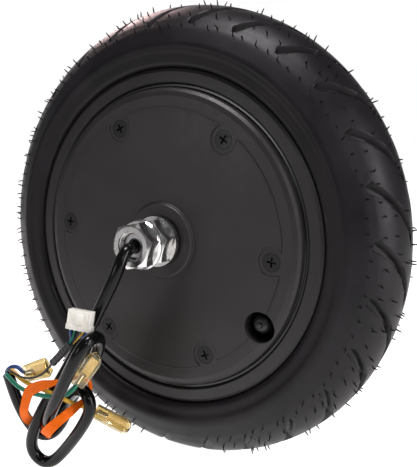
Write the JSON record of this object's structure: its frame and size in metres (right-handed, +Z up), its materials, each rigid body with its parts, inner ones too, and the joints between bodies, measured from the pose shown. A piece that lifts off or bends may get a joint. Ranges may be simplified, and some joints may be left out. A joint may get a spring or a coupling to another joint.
{
  "type": "hub motor wheel",
  "caption": "Small hub motor wheel: pneumatic tyre on a cast rim that houses an outrunner motor, fixed hollow axle with nuts, cable with plug and sleeved phase terminals.",
  "frame": {"origin": "centre of the wheel on the axle's centre line, midway between the axle's two ends", "axes": "+Y along the axle away from the side the cable leaves, +Z up, +X towards the right when looking along +Y"},
  "size_m": [0.216, 0.1219, 0.216],
  "materials": {
    "tyre_rubber": "soft matte moulded rubber",
    "tube_rubber": "matte",
    "seal_rubber": "satin",
    "sealant": "glossy",
    "rim_paint": "satin black paint on cast aluminium",
    "screw_steel": "blackened",
    "nut_plating": "bright plated",
    "steel": "ground",
    "bearing_steel": "polished",
    "brass": "bright",
    "magnet": "nickel plated",
    "lamination": "matte edges",
    "insulator": "moulded",
    "hub_casting": "as cast",
    "enamelled_wire": "varnished copper wire",
    "board": "printed board",
    "chip": "moulded",
    "cage_plastic": "moulded",
    "cable_jacket": "glossy extruded jacket",
    "wire_yellow": "extruded",
    "wire_green": "extruded",
    "wire_blue": "extruded",
    "sleeve_black": "shrunk tubing",
    "plug_plastic": "milky white",
    "sleeve_amber": "clear amber vinyl",
    "band_rubber": "matte elastic"
  },
  "bodies": {
    "stator": {"axle": "steel", "stator_core": "lamination", "end_insulators": "insulator", "stator_hub": "hub_casting", "stator_key": "steel", "windings": "enamelled_wire", "hall_board": "board", "hall_sensors": "chip", "stator_leads": "enamelled_wire", "cable_in_axle": "cable_jacket", "cable_grommet": "seal_rubber", "bearing_inner_ring_cable_side": "bearing_steel", "bearing_inner_ring_far_side": "bearing_steel", "spacer_cable_side": "steel", "spacer_far_side": "steel", "washer_cable_side": "nut_plating", "washer_far_side": "nut_plating", "inner_nut_cable_side": "nut_plating", "flange_nut_cable_side": "nut_plating", "flange_nut_far_side": "nut_plating", "motor_cable": "cable_jacket", "phase_wire_yellow": "wire_yellow", "phase_wire_green": "wire_green", "phase_wire_blue": "wire_blue", "hall_wires": "sleeve_black", "hall_sleeve": "sleeve_black", "hall_connector": "plug_plastic", "terminal_sleeve_green": "sleeve_amber", "terminal_sleeve_blue": "sleeve_amber", "terminal_sleeve_yellow": "sleeve_amber", "terminal_green": "brass", "terminal_blue": "brass", "terminal_yellow": "brass", "cable_band": "band_rubber"},
    "wheel": {"tyre": "tyre_rubber", "inner_tube": "tube_rubber", "valve_stem": "brass", "valve_cap": "seal_rubber", "rim_shell": "rim_paint", "cable_side_cover": "rim_paint", "cover_screws": "screw_steel", "cover_gasket": "seal_rubber", "groove_sealant": "sealant", "flux_ring": "steel", "rotor_magnets": "magnet", "bearing_shields": "bearing_steel", "bearing_outer_ring_cable_side": "bearing_steel", "bearing_outer_ring_far_side": "bearing_steel", "shaft_seal_cable_side": "seal_rubber", "shaft_seal_far_side": "seal_rubber"},
    "ball_set_cable_side": {"bearing_balls_cable_side": "bearing_steel", "bearing_cage_cable_side": "cage_plastic"},
    "ball_set_far_side": {"bearing_balls_far_side": "bearing_steel", "bearing_cage_far_side": "cage_plastic"}
  },
  "joints": [
    {"name": "wheel_spin", "type": "hinge", "parent": "stator", "child": "wheel", "pos_m": [0, 0, 0], "axis": [0, 1, 0], "continuous": true},
    {"name": "balls_spin_cable_side", "type": "hinge", "parent": "stator", "child": "ball_set_cable_side", "pos_m": [0, -0.02, 0], "axis": [0, 1, 0], "continuous": true},
    {"name": "balls_spin_far_side", "type": "hinge", "parent": "stator", "child": "ball_set_far_side", "pos_m": [0, 0.02, 0], "axis": [0, 1, 0], "continuous": true}
  ],
  "couplings": [
    {"joint": "balls_spin_cable_side", "follows": "wheel_spin", "ratio": 0.619},
    {"joint": "balls_spin_far_side", "follows": "wheel_spin", "ratio": 0.619}
  ]
}
